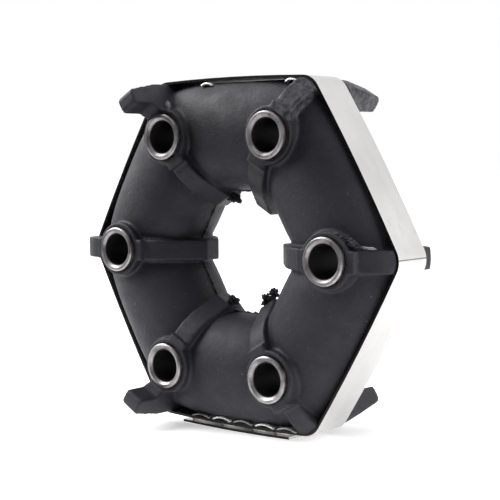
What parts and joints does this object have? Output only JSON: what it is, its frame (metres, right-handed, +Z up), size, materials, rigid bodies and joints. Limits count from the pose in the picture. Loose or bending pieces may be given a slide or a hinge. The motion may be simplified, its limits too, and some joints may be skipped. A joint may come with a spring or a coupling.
{
  "type": "shaft disc coupling",
  "caption": "Rubber disc coupling for a propeller shaft, with bolt sleeves in rubber-skinned inserts and a hexagonal steel band.",
  "frame": {"origin": "centre of the bolt circle, at the middle of the sleeves' length", "axes": "Y along the coupling's axis with the shown face toward -Y, +Z up, +X to the right seen from the shown face; it stands on the band's bottom flat"},
  "size_m": [0.1462, 0.064, 0.1322],
  "materials": {
    "sleeve_steel": "turned, bright at the rims",
    "insert_rubber": "satin moulded skin",
    "block_rubber": "satin, softly mottled",
    "band_steel": "bright rolled strip"
  },
  "bodies": {
    "root": {"sleeve_1": "sleeve_steel", "sleeve_2": "sleeve_steel", "sleeve_3": "sleeve_steel", "sleeve_4": "sleeve_steel", "sleeve_5": "sleeve_steel", "sleeve_6": "sleeve_steel", "insert_1": "insert_rubber", "insert_2": "insert_rubber", "insert_3": "insert_rubber", "insert_4": "insert_rubber", "insert_5": "insert_rubber", "insert_6": "insert_rubber", "rubber_block_1": "block_rubber", "rubber_block_2": "block_rubber", "rubber_block_3": "block_rubber", "rubber_block_4": "block_rubber", "rubber_block_5": "block_rubber", "rubber_block_6": "block_rubber", "band": "band_steel"}
  },
  "joints": []
}
